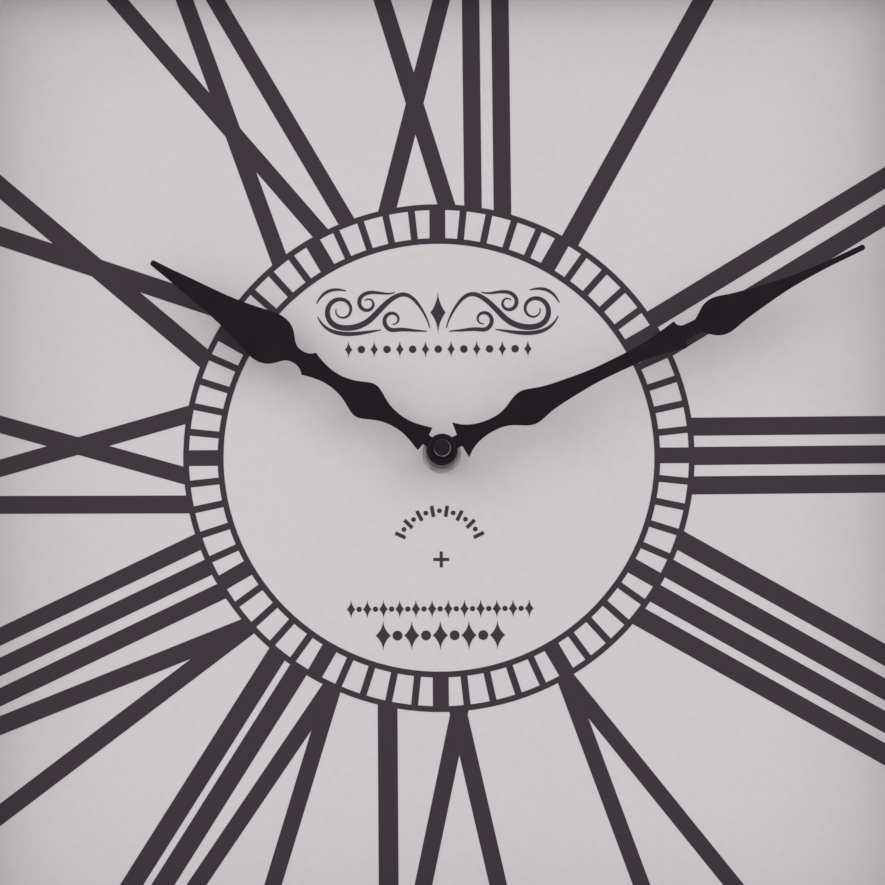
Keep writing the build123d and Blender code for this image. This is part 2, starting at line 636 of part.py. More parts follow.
with BuildPart() as hour_wheel:
    wheel_at(ARBOR, 40, TUBE_MODULE, phase_hour, HOUR_WHEEL_Y, WHEEL)
    disc_at(ARBOR, HOUR_TUBE_R, TUBE_FRONT_Y, HOUR_WHEEL_Y + WHEEL)
    disc_at(ARBOR, PIPE_R + FIT_GAP, TUBE_FRONT_Y, HOUR_WHEEL_Y + WHEEL, Mode.SUBTRACT)
save(hour_wheel, "hour_wheel")

with BuildPart() as minute_pipe:
    disc_at(ARBOR, PIPE_R, MINUTE_BACK_Y, CENTRE_Y + 1.3)
    wheel_at(ARBOR, 12, HAND_MODULE, phase_minute, MOTION_Y, 0.9)
    with BuildSketch(dial_plane(MINUTE_BACK_Y, MINUTE_ANGLE)):
        add(flatted(PIPE_TIP_R, PIPE_FLATS))
    extrude(amount=HAND_PLATE + PIPE_TIP)
    disc_at(ARBOR, PIPE_BORE_R, MINUTE_FRONT_Y - PIPE_TIP, CENTRE_Y + 1.3, Mode.SUBTRACT)
save(minute_pipe, "minute_pipe")

with BuildPart() as centre_wheel:
    wheel_at(ARBOR, 64, CENTRE_MODULE, phase_centre, CENTRE_Y, THIN_WHEEL)
    disc_at(ARBOR, PIPE_R + FIT_GAP, CENTRE_Y, CENTRE_Y + THIN_WHEEL, Mode.SUBTRACT)
    with BuildSketch(dial_plane(CENTRE_Y + THIN_WHEEL)):
        with PolarLocations(WINDOW_REACH, 4):
            Circle(WINDOW_R)
    extrude(amount=THIN_WHEEL, mode=Mode.SUBTRACT)
save(centre_wheel, "centre_wheel")

with BuildPart() as motion_wheel:
    wheel_at(MOTION, 36, HAND_MODULE, phase_motion, MOTION_Y + 0.05, WHEEL)
    wheel_at(MOTION, 10, TUBE_MODULE, phase_motion_pinion, HOUR_WHEEL_Y - 0.1, MOTION_Y - HOUR_WHEEL_Y + 0.15)
    disc_at(MOTION, ARBOR_R, ARBOR_FRONT_Y, PLATE_BACK_Y)
save(motion_wheel, "motion_wheel")

with BuildPart() as third_wheel:
    wheel_at(THIRD, 60, THIRD_MODULE, phase_third, THIRD_Y, THIN_WHEEL)
    wheel_at(THIRD, 8, CENTRE_MODULE, phase_third_pinion, CENTRE_Y - 0.3, THIRD_Y - CENTRE_Y + 0.3, 0.85)
    disc_at(THIRD, ARBOR_R, ARBOR_FRONT_Y, PLATE_BACK_Y)
save(third_wheel, "third_wheel")

with BuildPart() as seconds_wheel:
    wheel_at(ARBOR, 48, SECONDS_MODULE, phase_seconds, SECONDS_Y, THIN_WHEEL)
    wheel_at(ARBOR, 8, THIRD_MODULE, phase_seconds_pinion, THIRD_Y - 0.3, SECONDS_Y - THIRD_Y + 0.3, 0.85)
    disc_at(ARBOR, SECONDS_ARBOR_R, MINUTE_FRONT_Y - 0.3, PLATE_BACK_Y)
save(seconds_wheel, "seconds_wheel")

with BuildPart() as intermediate_wheel:
    wheel_at(INTER, 40, ROTOR_MODULE, phase_inter, INTER_Y, 0.5)
    wheel_at(INTER, 8, SECONDS_MODULE, phase_inter_pinion, SECONDS_Y - 0.2, INTER_Y - SECONDS_Y + 0.2, 0.85)
    disc_at(INTER, ARBOR_R, STATOR_Y, PLATE_BACK_Y)
save(intermediate_wheel, "intermediate_wheel")

MAGNET_R, MAGNET_PROUD = 3.2, 0.6          # the magnet stands proud of the stator on both faces
with BuildPart() as rotor:
    disc_at(ROTOR, MAGNET_R, STATOR_Y - MAGNET_PROUD, STATOR_Y + STATOR + MAGNET_PROUD)
    wheel_at(ROTOR, 8, ROTOR_MODULE, phase_rotor, INTER_Y - 0.3, 1.1, 0.85)
    disc_at(ROTOR, ARBOR_R, ARBOR_FRONT_Y, PLATE_BACK_Y)
save(rotor, "rotor")

KNOB_R, KNOB_HEAD, KNOB_PROUD = 5.2, 2.4, 0.4
KNURLS, KNURL_R = 24, 0.28
with BuildPart() as setting_knob:
    wheel_at(KNOB, 12, HAND_MODULE, phase_knob, MOTION_Y - 0.1, 1.1)
    disc_at(KNOB, KNOB_ARBOR_R, ARBOR_FRONT_Y, CASE_BACK_Y + KNOB_PROUD - KNOB_HEAD)
    with BuildSketch(dial_plane(CASE_BACK_Y + KNOB_PROUD)):
        with Locations(KNOB):
            Circle(KNOB_R)
            with PolarLocations(KNOB_R, KNURLS):
                Circle(KNURL_R, mode=Mode.SUBTRACT)
    extrude(amount=KNOB_HEAD)
save(setting_knob, "setting_knob")

with BuildPart() as train_plate:
    with BuildSketch(dial_plane(PLATE_BACK_Y)):
        with Locations((-1.0, -1.5)):
            RectangleRounded(38, 24, 2)
        for place, radius in ((THIRD, ARBOR_R), (ARBOR, SECONDS_ARBOR_R), (INTER, ARBOR_R), (ROTOR, ARBOR_R),
                              (MOTION, ARBOR_R), (KNOB, KNOB_ARBOR_R)):
            with Locations(place):
                Circle(radius + PIVOT_GAP, mode=Mode.SUBTRACT)
    extrude(amount=PLATE)
    for x, z in ((-18.5, 9.0), (17.0, 6.8), (16.5, -12.0), (-1.0, -12.6)):
        disc_at((x, z), PILLAR_R, CASE_INNER_Y, PLATE_FRONT_Y)
save(train_plate, "train_plate")

# ================================================================ movement: motor and electronics
COIL_LEFT, COIL_LENGTH, COIL_Z = -12.4, 23.6, 15.2
COIL_Y = STATOR_Y + STATOR / 2
CORE_R, WINDING_R, CHEEK_SIDE, CHEEK = 1.4, 3.4, 7.4, 1.0


def coil_plane(x):
    """Plane across the coil at x, facing +X."""
    return Plane(origin=(x, COIL_Y, COIL_Z - ARBOR_DROP), x_dir=(0, 1, 0), z_dir=(1, 0, 0))


with BuildPart() as stator:
    with BuildSketch(dial_plane(STATOR_Y + STATOR)):
        with BuildLine():
            Polyline((-17.4, 0.4), (-5.4, 0.4), (-5.4, 8.4), (16, 8.4), (16, 18.4), (11.4, 18.4),
                     (11.4, 11.0), (-12.6, 11.0), (-12.6, 18.4), (-17.4, 18.4), close=True)
        make_face()
        with Locations(ROTOR):
            Circle(MAGNET_R + 0.4, mode=Mode.SUBTRACT)
        with Locations(INTER):
            Circle(ARBOR_R + PIVOT_GAP, mode=Mode.SUBTRACT)
    extrude(amount=STATOR)
save(stator, "stator")

with BuildPart() as coil_bobbin:
    with BuildSketch(coil_plane(COIL_LEFT)):
        Circle(CORE_R)
    extrude(amount=COIL_LENGTH)
    for x in (COIL_LEFT, COIL_LEFT + COIL_LENGTH - CHEEK):
        with BuildSketch(coil_plane(x)):
            RectangleRounded(CHEEK_SIDE, CHEEK_SIDE, 1)
        extrude(amount=CHEEK)
save(coil_bobbin, "coil_bobbin")

with BuildPart() as coil_winding:
    with BuildSketch(coil_plane(COIL_LEFT + CHEEK)):
        Circle(WINDING_R)
        Circle(CORE_R, mode=Mode.SUBTRACT)
    extrude(amount=COIL_LENGTH - 2 * CHEEK)
save(coil_winding, "coil_winding")

PCB = 0.8
PCB_BACK_Y = COVER_INNER_Y - 0.4
PCB_FRONT_Y = PCB_BACK_Y - PCB
CRYSTAL_R = 1.0
with BuildPart() as circuit_board:
    with BuildSketch(dial_plane(PCB_BACK_Y)):
        with Locations((13.5, -2.0)):
            RectangleRounded(24, 16, 1)
    extrude(amount=PCB)
save(circuit_board, "circuit_board")

with BuildPart() as clock_chip:
    with BuildSketch(dial_plane(PCB_FRONT_Y)):
        with Locations((10.0, -1.0)):
            Circle(3.0)
    extrude(amount=0.9)
    fillet(clock_chip.edges().group_by(Axis.Y)[0], 0.6)
save(clock_chip, "clock_chip")

with BuildPart() as quartz_crystal:
    with BuildSketch(Plane(origin=(19.0, PCB_FRONT_Y - CRYSTAL_R, -5.0 - ARBOR_DROP), z_dir=(0, 0, 1))):
        Circle(CRYSTAL_R)
    extrude(amount=6.0)
save(quartz_crystal, "quartz_crystal")

# ================================================================ movement: battery
BATTERY_R, BATTERY_BODY, BATTERY_NUB_R, BATTERY_NUB = 7.1, 49.2, 2.7, 1.2
PARTITION_Z = -17.5                          # floor of the wheel space, above the battery
BATTERY_Z = (PARTITION_Z - CASE_BOTTOM) / 2
BATTERY_Y = (CASE_BACK_Y + CASE_INNER_Y) / 2 + 0.3
BATTERY_LEFT = -24.6
POCKET_HALF = CASE_HALF - CASE_WALL          # half the width inside the case
CONTACT, CONTACT_WIDTH = 0.4, 8.0
CONTACT_TOP, CONTACT_FOOT = -12.0, -31.6
LEAF_X, LEAF_HALF, LEAF_ROOT, LEAF_WIDTH = -25.4, 1.2, 5.0, 6.0   # the leaf bows out from LEAF_ROOT to LEAF_X


def battery_plane(x):
    """Plane across the battery at x, facing +X."""
    return Plane(origin=(x, BATTERY_Y, BATTERY_Z - ARBOR_DROP), x_dir=(0, 1, 0), z_dir=(1, 0, 0))


with BuildPart() as battery:
    with BuildSketch(battery_plane(BATTERY_LEFT)):
        Circle(BATTERY_R)
    extrude(amount=BATTERY_BODY)
    fillet(battery.edges(), 0.5)
    with BuildSketch(battery_plane(BATTERY_LEFT + BATTERY_BODY)):
        Circle(BATTERY_NUB_R)
    extrude(amount=BATTERY_NUB)
save(battery, "battery")

CONTACT_MIDDLE_Z = (CONTACT_TOP + CONTACT_FOOT) / 2 - ARBOR_DROP
with BuildPart() as contact_positive:
    with Locations((POCKET_HALF - CONTACT / 2, BATTERY_Y, CONTACT_MIDDLE_Z)):
        Box(CONTACT, CONTACT_WIDTH, CONTACT_TOP - CONTACT_FOOT)
save(contact_positive, "contact_positive")

with BuildPart() as contact_negative:
    with Locations((CONTACT / 2 - POCKET_HALF, BATTERY_Y, CONTACT_MIDDLE_Z)):
        Box(CONTACT, CONTACT_WIDTH, CONTACT_TOP - CONTACT_FOOT)
    with BuildSketch(Plane(origin=(0, BATTERY_Y + LEAF_WIDTH / 2, BATTERY_Z - ARBOR_DROP),
                           x_dir=(1, 0, 0), z_dir=(0, -1, 0))):
        with BuildLine():
            root = CONTACT - POCKET_HALF
            Polyline((root, LEAF_ROOT), (LEAF_X, LEAF_HALF), (LEAF_X, -LEAF_HALF), (root, -LEAF_ROOT),
                     (root, 0.5 - LEAF_ROOT), (LEAF_X - 0.3, 0.2 - LEAF_HALF),
                     (LEAF_X - 0.3, LEAF_HALF - 0.2), (root, LEAF_ROOT - 0.5), close=True)
        make_face()
    extrude(amount=LEAF_WIDTH)
save(contact_negative, "contact_negative")

# ================================================================ movement: case
CASE_MIDDLE_Z = (CASE_TOP - CASE_BOTTOM) / 2
WHEEL_SPACE = CASE_TOP - CASE_WALL - PARTITION_Z            # height inside, above the partition
WHEEL_SPACE_Z = (CASE_TOP - CASE_WALL + PARTITION_Z) / 2
BAY = PARTITION_Z + CASE_BOTTOM - 2 * CASE_WALL             # height of the battery bay
INNER_CORNER = 1.8

with BuildPart() as movement_case:
    with BuildSketch(dial_plane(CASE_BACK_Y)):
        with Locations((0, CASE_MIDDLE_Z)):
            RectangleRounded(2 * CASE_HALF, CASE_TOP + CASE_BOTTOM, 3)
    extrude(amount=CASE_DEPTH)
    fillet(movement_case.edges().group_by(Axis.Y)[0], 0.8)
    with BuildSketch(dial_plane(CASE_BACK_Y)):
        with Locations((0, WHEEL_SPACE_Z)):
            RectangleRounded(2 * POCKET_HALF, WHEEL_SPACE, INNER_CORNER)
        with Locations((0, BATTERY_Z)):
            RectangleRounded(2 * POCKET_HALF, BAY, INNER_CORNER)
    extrude(amount=CASE_DEPTH - CASE_WALL, mode=Mode.SUBTRACT)
    for hand in (1, -1):                     # slots where the contacts pass the partition
        slot = (hand * (POCKET_HALF - CONTACT / 2), BATTERY_Y, PARTITION_Z - CASE_WALL / 2 - ARBOR_DROP)
        with Locations(slot):
            Box(CONTACT, CONTACT_WIDTH, CASE_WALL + 4, mode=Mode.SUBTRACT)
    disc_at(ARBOR, BUSH_R, CASE_FRONT_Y, CASE_INNER_Y, Mode.SUBTRACT)
    for place, radius in ((THIRD, ARBOR_R), (ROTOR, ARBOR_R), (MOTION, ARBOR_R), (KNOB, KNOB_ARBOR_R)):
        disc_at(place, radius + PIVOT_GAP, CASE_INNER_Y - BLIND, CASE_INNER_Y, Mode.SUBTRACT)
save(movement_case, "movement_case")

RECESS_R, RECESS_WALL, RECESS, RECESS_FLOOR = 6.2, 0.8, 2.4, 0.8    # round well for the setting knob
VENTS, VENT_PITCH, VENT_LENGTH, VENT_WIDTH, VENT_DEPTH = 7, 2.4, 7.0, 0.9, 0.4
RECESS_Y = CASE_BACK_Y - RECESS
with BuildPart() as movement_cover:
    with BuildSketch(dial_plane(CASE_BACK_Y)):
        with Locations((0, WHEEL_SPACE_Z)):
            RectangleRounded(2 * POCKET_HALF, WHEEL_SPACE, INNER_CORNER)
    extrude(amount=COVER)
    disc_at(KNOB, RECESS_R + RECESS_WALL, RECESS_Y - RECESS_FLOOR, CASE_BACK_Y)
    disc_at(KNOB, RECESS_R, RECESS_Y, CASE_BACK_Y, Mode.SUBTRACT)
    disc_at(KNOB, KNOB_ARBOR_R + PIVOT_GAP, RECESS_Y - RECESS_FLOOR, RECESS_Y, Mode.SUBTRACT)
    with BuildSketch(dial_plane(CASE_BACK_Y)):
        with Locations((10.0, 9.5)):
            with GridLocations(VENT_PITCH, 0, VENTS, 1):
                SlotOverall(VENT_LENGTH, VENT_WIDTH, rotation=90)
    extrude(amount=VENT_DEPTH, mode=Mode.SUBTRACT)
save(movement_cover, "movement_cover")
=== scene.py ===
import bpy
import bmesh
import json
from math import cos, pi, radians, sin, tau
from mathutils import Matrix, Vector


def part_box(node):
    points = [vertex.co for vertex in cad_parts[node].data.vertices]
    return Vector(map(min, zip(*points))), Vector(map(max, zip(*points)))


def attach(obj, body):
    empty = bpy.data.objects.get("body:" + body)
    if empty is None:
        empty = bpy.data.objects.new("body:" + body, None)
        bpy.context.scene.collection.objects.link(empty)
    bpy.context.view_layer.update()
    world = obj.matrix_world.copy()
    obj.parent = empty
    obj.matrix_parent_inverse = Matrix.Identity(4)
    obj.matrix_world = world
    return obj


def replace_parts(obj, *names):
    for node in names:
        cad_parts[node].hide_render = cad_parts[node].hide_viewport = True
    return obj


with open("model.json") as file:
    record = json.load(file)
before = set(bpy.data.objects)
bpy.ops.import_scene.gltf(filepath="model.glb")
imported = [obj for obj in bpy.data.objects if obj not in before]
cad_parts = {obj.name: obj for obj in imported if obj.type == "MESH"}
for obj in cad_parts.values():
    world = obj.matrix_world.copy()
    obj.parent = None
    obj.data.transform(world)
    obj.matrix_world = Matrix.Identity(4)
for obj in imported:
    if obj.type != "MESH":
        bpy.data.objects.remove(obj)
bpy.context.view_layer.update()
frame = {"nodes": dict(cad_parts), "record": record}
scene = bpy.context.scene

# ------------------------------------------------------------------ places read from the frame
MM = 0.001


def middle(node):
    """Centre of a node's box."""
    low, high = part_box(node)
    return (low + high) / 2


ARBOR = middle("cap_nut")
DIAL_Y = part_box("dial_sheet")[0].y
RING = middle("minute_ring_print")          # centre of the print, a little off the arbor
FLOOR_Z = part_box("frame_rail_bottom")[0].z - 3.0       # far enough down to be clear of views from below
BODIES = {node: body for body, nodes in frame["record"]["behaviour"]["bodies"].items() for node in nodes}


# ------------------------------------------------------------------ material helpers
class Graph:
    """A short way to write a procedural material around one Principled shader."""

    def __init__(self, name, colour, rough, metallic=0.0):
        self.material = bpy.data.materials.new(name)
        self.material.use_nodes = True
        self.tree = self.material.node_tree
        self.shader = self.tree.nodes["Principled BSDF"]
        self.shader.inputs["Base Color"].default_value = (*colour, 1)
        self.shader.inputs["Roughness"].default_value = rough
        self.shader.inputs["Metallic"].default_value = metallic
        self.place = self.node("ShaderNodeTexCoord").outputs["Object"]

    def node(self, kind, **settings):
        made = self.tree.nodes.new(kind)
        for key, value in settings.items():
            setattr(made, key, value)
        return made

    def wire(self, value, socket):
        """Joins an output to a socket, or sets the socket to a number or colour."""
        if isinstance(value, bpy.types.NodeSocket):
            self.tree.links.new(value, socket)
        else:
            socket.default_value = value

    def stretch(self, scale):
        """Object coordinates scaled by axis, to draw a pattern out along one of them."""
        mapping = self.node("ShaderNodeMapping")
        self.wire(self.place, mapping.inputs["Vector"])
        mapping.inputs["Scale"].default_value = scale
        return mapping.outputs["Vector"]

    def noise(self, scale, detail=4, place=None, rough=0.55):
        made = self.node("ShaderNodeTexNoise")
        self.wire(place or self.place, made.inputs["Vector"])
        made.inputs["Scale"].default_value = scale
        made.inputs["Detail"].default_value = detail
        made.inputs["Roughness"].default_value = rough
        return made.outputs["Fac"]

    def cells(self, scale):
        made = self.node("ShaderNodeTexVoronoi")
        self.wire(self.place, made.inputs["Vector"])
        made.inputs["Scale"].default_value = scale
        return made.outputs["Distance"]

    def ramp(self, value, *stops):
        """Colour ramp; each stop is (position, colour)."""
        made = self.node("ShaderNodeValToRGB")
        elements = made.color_ramp.elements
        while len(elements) < len(stops):
            elements.new(0.5)
        for element, (position, colour) in zip(elements, stops):
            element.position = position
            element.color = (*colour, 1) if len(colour) == 3 else colour
        self.wire(value, made.inputs["Fac"])
        return made.outputs["Color"]

    def span(self, value, low, high, to_low=0.0, to_high=1.0):
        made = self.node("ShaderNodeMapRange", interpolation_type="SMOOTHSTEP")
        self.wire(value, made.inputs["Value"])
        for name, number in (("From Min", low), ("From Max", high), ("To Min", to_low), ("To Max", to_high)):
            self.wire(number, made.inputs[name])
        return made.outputs["Result"]

    def math(self, operation, a, b=0.0):
        made = self.node("ShaderNodeMath", operation=operation)
        self.wire(a, made.inputs[0])
        self.wire(b, made.inputs[1])
        return made.outputs[0]

    def blend(self, amount, a, b):
        """Mixes two colours by an amount."""
        made = self.node("ShaderNodeMix", data_type="RGBA")
        self.wire(amount, made.inputs["Factor"])
        for name, value in (("A", a), ("B", b)):
            socket = [s for s in made.inputs if s.name == name and s.type == "RGBA"][0]
            self.wire((*value, 1) if isinstance(value, tuple) else value, socket)
        return [s for s in made.outputs if s.type == "RGBA"][0]

    def axes(self, place=None):
        made = self.node("ShaderNodeSeparateXYZ")
        self.wire(place or self.place, made.inputs[0])
        return made.outputs

    def hypot(self, a, b):
        return self.math("SQRT", self.math("ADD", self.math("MULTIPLY", a, a), self.math("MULTIPLY", b, b)))

    def radius(self, centre, axis="Y"):
        """Distance from a line through centre along X or Y."""
        x, y, z = self.axes()
        across = self.math("SUBTRACT", *((x, centre.x) if axis == "Y" else (y, centre.y)))
        return self.hypot(across, self.math("SUBTRACT", z, centre.z))

    def outward(self):
        """Distance from the arbor along X, along Z, and the larger of both: square rings around it."""
        x, _, z = self.axes()
        across = self.math("ABSOLUTE", self.math("SUBTRACT", x, ARBOR.x))
        upright = self.math("ABSOLUTE", self.math("SUBTRACT", z, ARBOR.z))
        return across, upright, self.math("MAXIMUM", across, upright)

    def slope(self):
        """0 on faces along the axes and 1 on the rounded edges between them."""
        normal = self.node("ShaderNodeNewGeometry").outputs["Normal"]
        x, y, z = self.axes(normal)
        biggest = self.math("MAXIMUM", self.math("ABSOLUTE", x), self.math("ABSOLUTE", y))
        biggest = self.math("MAXIMUM", biggest, self.math("ABSOLUTE", z))
        return self.span(biggest, 0.985, 0.86)

    def colour(self, value):
        self.wire(value, self.shader.inputs["Base Color"])

    def rough(self, value):
        self.wire(value, self.shader.inputs["Roughness"])

    def bump(self, height, distance, strength=1.0):
        """Adds relief, in metres, over whatever relief is there."""
        made = self.node("ShaderNodeBump")
        self.wire(height, made.inputs["Height"])
        made.inputs["Distance"].default_value = distance
        made.inputs["Strength"].default_value = strength
        old = self.shader.inputs["Normal"].links
        if old:
            self.tree.links.new(old[0].from_socket, made.inputs["Normal"])
        self.tree.links.new(made.outputs["Normal"], self.shader.inputs["Normal"])


def wear(piece, material):
    """Gives a CAD node or a new piece one material."""
    piece.data.materials.clear()
    piece.data.materials.append(material)


def dress(material, *nodes):
    """Gives CAD nodes a material."""
    for name in nodes:
        wear(frame["nodes"][name], material)


# ------------------------------------------------------------------ materials
FRAME_LOW, FRAME_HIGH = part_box("frame_rail_top")
FRAME_HALF = FRAME_HIGH.x
SIGHT_HALF = FRAME_HALF - 27 * MM        # half the opening
BEAD_R = 2.95 * MM                       # of the bead around the cap's top
RIDGES = [                       # edges of the moulding: distance out from the arbor, and depth
    (FRAME_HALF, FRAME_LOW.y + 9 * MM), (FRAME_HALF - 5 * MM, FRAME_LOW.y + 2.5 * MM),
    (FRAME_HALF - 9 * MM, FRAME_LOW.y), (SIGHT_HALF + 6 * MM, FRAME_LOW.y),
    (SIGHT_HALF + 1.5 * MM, FRAME_LOW.y + 3.5 * MM), (FRAME_HALF, FRAME_HIGH.y)]


def lacquered_wood(name, along):
    """Black lacquer over open-grained wood, rubbed at the moulding's edges; the grain runs along X or Z."""
    g = Graph(name, (0.02, 0.018, 0.019), 0.38)
    scale = (0.06, 1, 1) if along == "X" else (1, 1, 0.06)
    bands = g.noise(70, 5, g.stretch(scale))
    pores = g.noise(900, 3, g.stretch(scale))
    grain = g.span(pores, 0.54, 0.70)
    tone = g.ramp(bands, (0.30, (0.009, 0.008, 0.009)), (0.75, (0.021, 0.018, 0.018)))
    tone = g.blend(g.math("MULTIPLY", grain, 0.6), tone, (0.004, 0.0035, 0.0035))

    across, upright, outward = g.outward()
    rub = 0.0
    for out, depth in RIDGES:
        away = g.hypot(g.math("SUBTRACT", outward, out), g.math("SUBTRACT", g.axes()[1], depth))
        rub = g.math("MAXIMUM", rub, g.span(away, 1.5 * MM, 0.2 * MM))
    patches = g.math("MULTIPLY", g.span(g.noise(260, 5), 0.48, 0.60), g.span(g.noise(17, 3), 0.46, 0.60))
    tone = g.blend(g.math("MULTIPLY", g.math("MULTIPLY", rub, patches), 0.75), tone, (0.135, 0.080, 0.045))
    mitre = g.span(g.math("ABSOLUTE", g.math("SUBTRACT", across, upright)), 0.22 * MM, 0.08 * MM)
    g.colour(g.blend(g.math("MULTIPLY", mitre, 0.9), tone, (0.002, 0.002, 0.002)))

    g.rough(g.span(g.noise(24, 4), 0.3, 0.7, 0.30, 0.44))
    g.bump(grain, -0.05 * MM)
    g.bump(bands, 0.10 * MM, 0.5)
    g.bump(mitre, -0.20 * MM)
    g.shader.inputs["Specular IOR Level"].default_value = 0.28
    g.shader.inputs["Coat Weight"].default_value = 0.12
    g.shader.inputs["Coat Roughness"].default_value = 0.24
    return g.material


def dial_paper():
    """Uncoated printed paper: off-white with a violet cast, faint fibres and an uneven tint, with painted
    shade from the frame that darkens it towards the left and right sides.
    """
    g = Graph("dial_paper", (0.62, 0.60, 0.62), 0.72)
    fleck = g.noise(2600, 3)
    cloud = g.math("ADD", g.math("MULTIPLY", g.noise(9, 3), 0.5), g.math("MULTIPLY", g.noise(330, 3), 0.5))
    tint = g.ramp(cloud, (0.34, (0.762, 0.732, 0.748)), (0.66, (0.806, 0.775, 0.789)))
    tint = g.blend(g.span(fleck, 0.35, 0.75, 0.0, 0.05), tint, (0.62, 0.60, 0.62))
    # painted shade: the paper darkens towards the left and right sides, where the frame's shade falls; the
    # noise only roughens the shade's inner edge
    soft = g.math("MULTIPLY", g.math("SUBTRACT", g.noise(26, 4), 0.5), 18 * MM)
    painted_frame_shade = g.span(g.math("ADD", g.outward()[0], soft), 112 * MM, SIGHT_HALF)
    g.colour(g.blend(g.math("MULTIPLY", painted_frame_shade, 0.34), tint, (0.60, 0.555, 0.565)))
    g.rough(g.span(fleck, 0.3, 0.7, 0.66, 0.80))
    g.bump(fleck, 0.01 * MM, 0.6)
    g.bump(g.noise(420, 4), 0.02 * MM, 0.4)
    g.shader.inputs["Specular IOR Level"].default_value = 0.3
    return g.material


def dial_ink():
    """Warm near-black ink that soaks unevenly into the paper."""
    g = Graph("dial_ink", (0.042, 0.029, 0.043), 0.62)
    speck = g.noise(1500, 4)
    g.colour(g.ramp(speck, (0.30, (0.034, 0.022, 0.035)), (0.70, (0.050, 0.036, 0.051))))
    g.rough(g.span(speck, 0.3, 0.7, 0.52, 0.70))
    g.bump(speck, 0.01 * MM, 0.5)
    g.shader.inputs["Specular IOR Level"].default_value = 0.35
    return g.material


def hand_enamel():
    """Satin black enamel on stamped sheet, with a faint orange-peel surface."""
    g = Graph("hand_enamel", (0.009, 0.006, 0.012), 0.42)
    peel = g.noise(900, 2)
    dust = g.cells(1400)
    g.colour(g.ramp(g.noise(120, 4), (0.3, (0.007, 0.0047, 0.0100)), (0.7, (0.011, 0.0078, 0.0145))))
    g.rough(g.span(peel, 0.3, 0.7, 0.36, 0.50))
    g.shader.inputs["Specular IOR Level"].default_value = 0.14
    g.bump(peel, 0.012 * MM, 0.7)
    g.bump(dust, 0.004 * MM, 0.4)
    return g.material


def cap_enamel():
    """Black cap whose rolled bead shows bare metal, made bright mostly at the lower right as a painted
    highlight.
    """
    g = Graph("cap_enamel", (0.012, 0.010, 0.015), 0.3)
    scratch = g.noise(700, 4)
    bead = g.span(g.math("ABSOLUTE", g.math("SUBTRACT", g.radius(ARBOR), BEAD_R)), 0.19 * MM, 0.08 * MM)
    x, _, z = g.axes()
    # painted highlight: the bead turns to bright metal mostly at the lower right, set by direction and not by
    # use
    aslant = g.math("MULTIPLY", g.math("SUBTRACT", x, ARBOR.x), 0.7)
    low_right = g.math("SUBTRACT", aslant, g.math("SUBTRACT", z, ARBOR.z))
    highlight_side = g.span(low_right, -2.4 * MM, 1.6 * MM, 0.12, 1.0)
    highlight_side = g.math("MULTIPLY", highlight_side, g.span(g.noise(520, 2), 0.38, 0.56, 0.3, 1.0))
    bead_metal_and_highlight = g.math("MULTIPLY", bead, highlight_side)
    g.colour(g.blend(bead_metal_and_highlight, (0.009, 0.005, 0.015), (0.42, 0.37, 0.40)))
    g.wire(bead_metal_and_highlight, g.shader.inputs["Metallic"])
    g.rough(g.span(scratch, 0.3, 0.7, 0.26, 0.42))
    g.bump(scratch, 0.006 * MM, 0.5)
    g.shader.inputs["Specular IOR Level"].default_value = 0.25
    return g.material


def plated(name, colour, rough, grain=(1, 1, 1), spots=(0.0, 0.0, 0.0)):
    """Plated or bright metal with fine working lines and a few dull spots."""
    g = Graph(name, colour, rough, 1.0)
    lines = g.noise(1800, 3, g.stretch(grain))
    stain = g.span(g.noise(160, 5), 0.60, 0.78)
    dull = tuple(c * 0.55 + s for c, s in zip(colour, spots))
    tone = g.blend(g.span(lines, 0.3, 0.7), colour, tuple(c * 0.86 for c in colour))
    g.colour(g.blend(g.math("MULTIPLY", stain, 0.30), tone, dull))
    worked = g.span(lines, 0.3, 0.7, rough - 0.06, rough + 0.08)
    g.rough(g.math("ADD", worked, g.math("MULTIPLY", stain, 0.12)))
    g.bump(lines, 0.004 * MM, 0.6)
    return g.material


def lathe_metal(name, colour, rough):
    """Turned metal: fine rings around the arbor, with hardly any stain."""
    g = Graph(name, colour, rough, 1.0)
    line = g.node("ShaderNodeCombineXYZ")
    g.wire(g.radius(ARBOR), line.inputs[0])
    rings = g.noise(9000, 2, line.outputs[0])
    haze = g.noise(240, 3)
    g.colour(g.blend(g.span(haze, 0.35, 0.7, 0.0, 0.5), colour, tuple(c * 0.86 for c in colour)))
    g.rough(g.span(rings, 0.3, 0.7, rough - 0.05, rough + 0.05))
    g.bump(rings, 0.003 * MM, 0.6)
    return g.material


def moulded(name, colour, rough, texture=700):
    """Moulded plastic with a spark-eroded surface and slightly polished edges."""
    g = Graph(name, colour, rough)
    spark = g.noise(texture, 4)
    flow = g.noise(30, 3)
    dark = tuple(c * 0.86 for c in colour)
    g.colour(g.blend(g.span(flow, 0.35, 0.7), colour, dark))
    g.rough(g.math("SUBTRACT", g.span(spark, 0.3, 0.7, rough - 0.05, rough + 0.08),
                   g.math("MULTIPLY", g.slope(), 0.12)))
    g.bump(spark, 0.02 * MM, 0.7)
    return g.material


def fibre_board():
    """Raw fibreboard: felted brown fibres with pale and dark flecks."""
    g = Graph("fibre_board", (0.36, 0.25, 0.15), 0.86)
    felt = g.noise(330, 6, rough=0.7)
    flecks = g.cells(900)
    tone = g.ramp(felt, (0.28, (0.250, 0.165, 0.095)), (0.50, (0.345, 0.240, 0.145)),
                  (0.75, (0.450, 0.330, 0.210)))
    g.colour(g.blend(g.span(flecks, 0.16, 0.05, 0.0, 0.5), tone, (0.20, 0.13, 0.075)))
    g.bump(felt, 0.12 * MM, 0.6)
    g.shader.inputs["Specular IOR Level"].default_value = 0.2
    return g.material


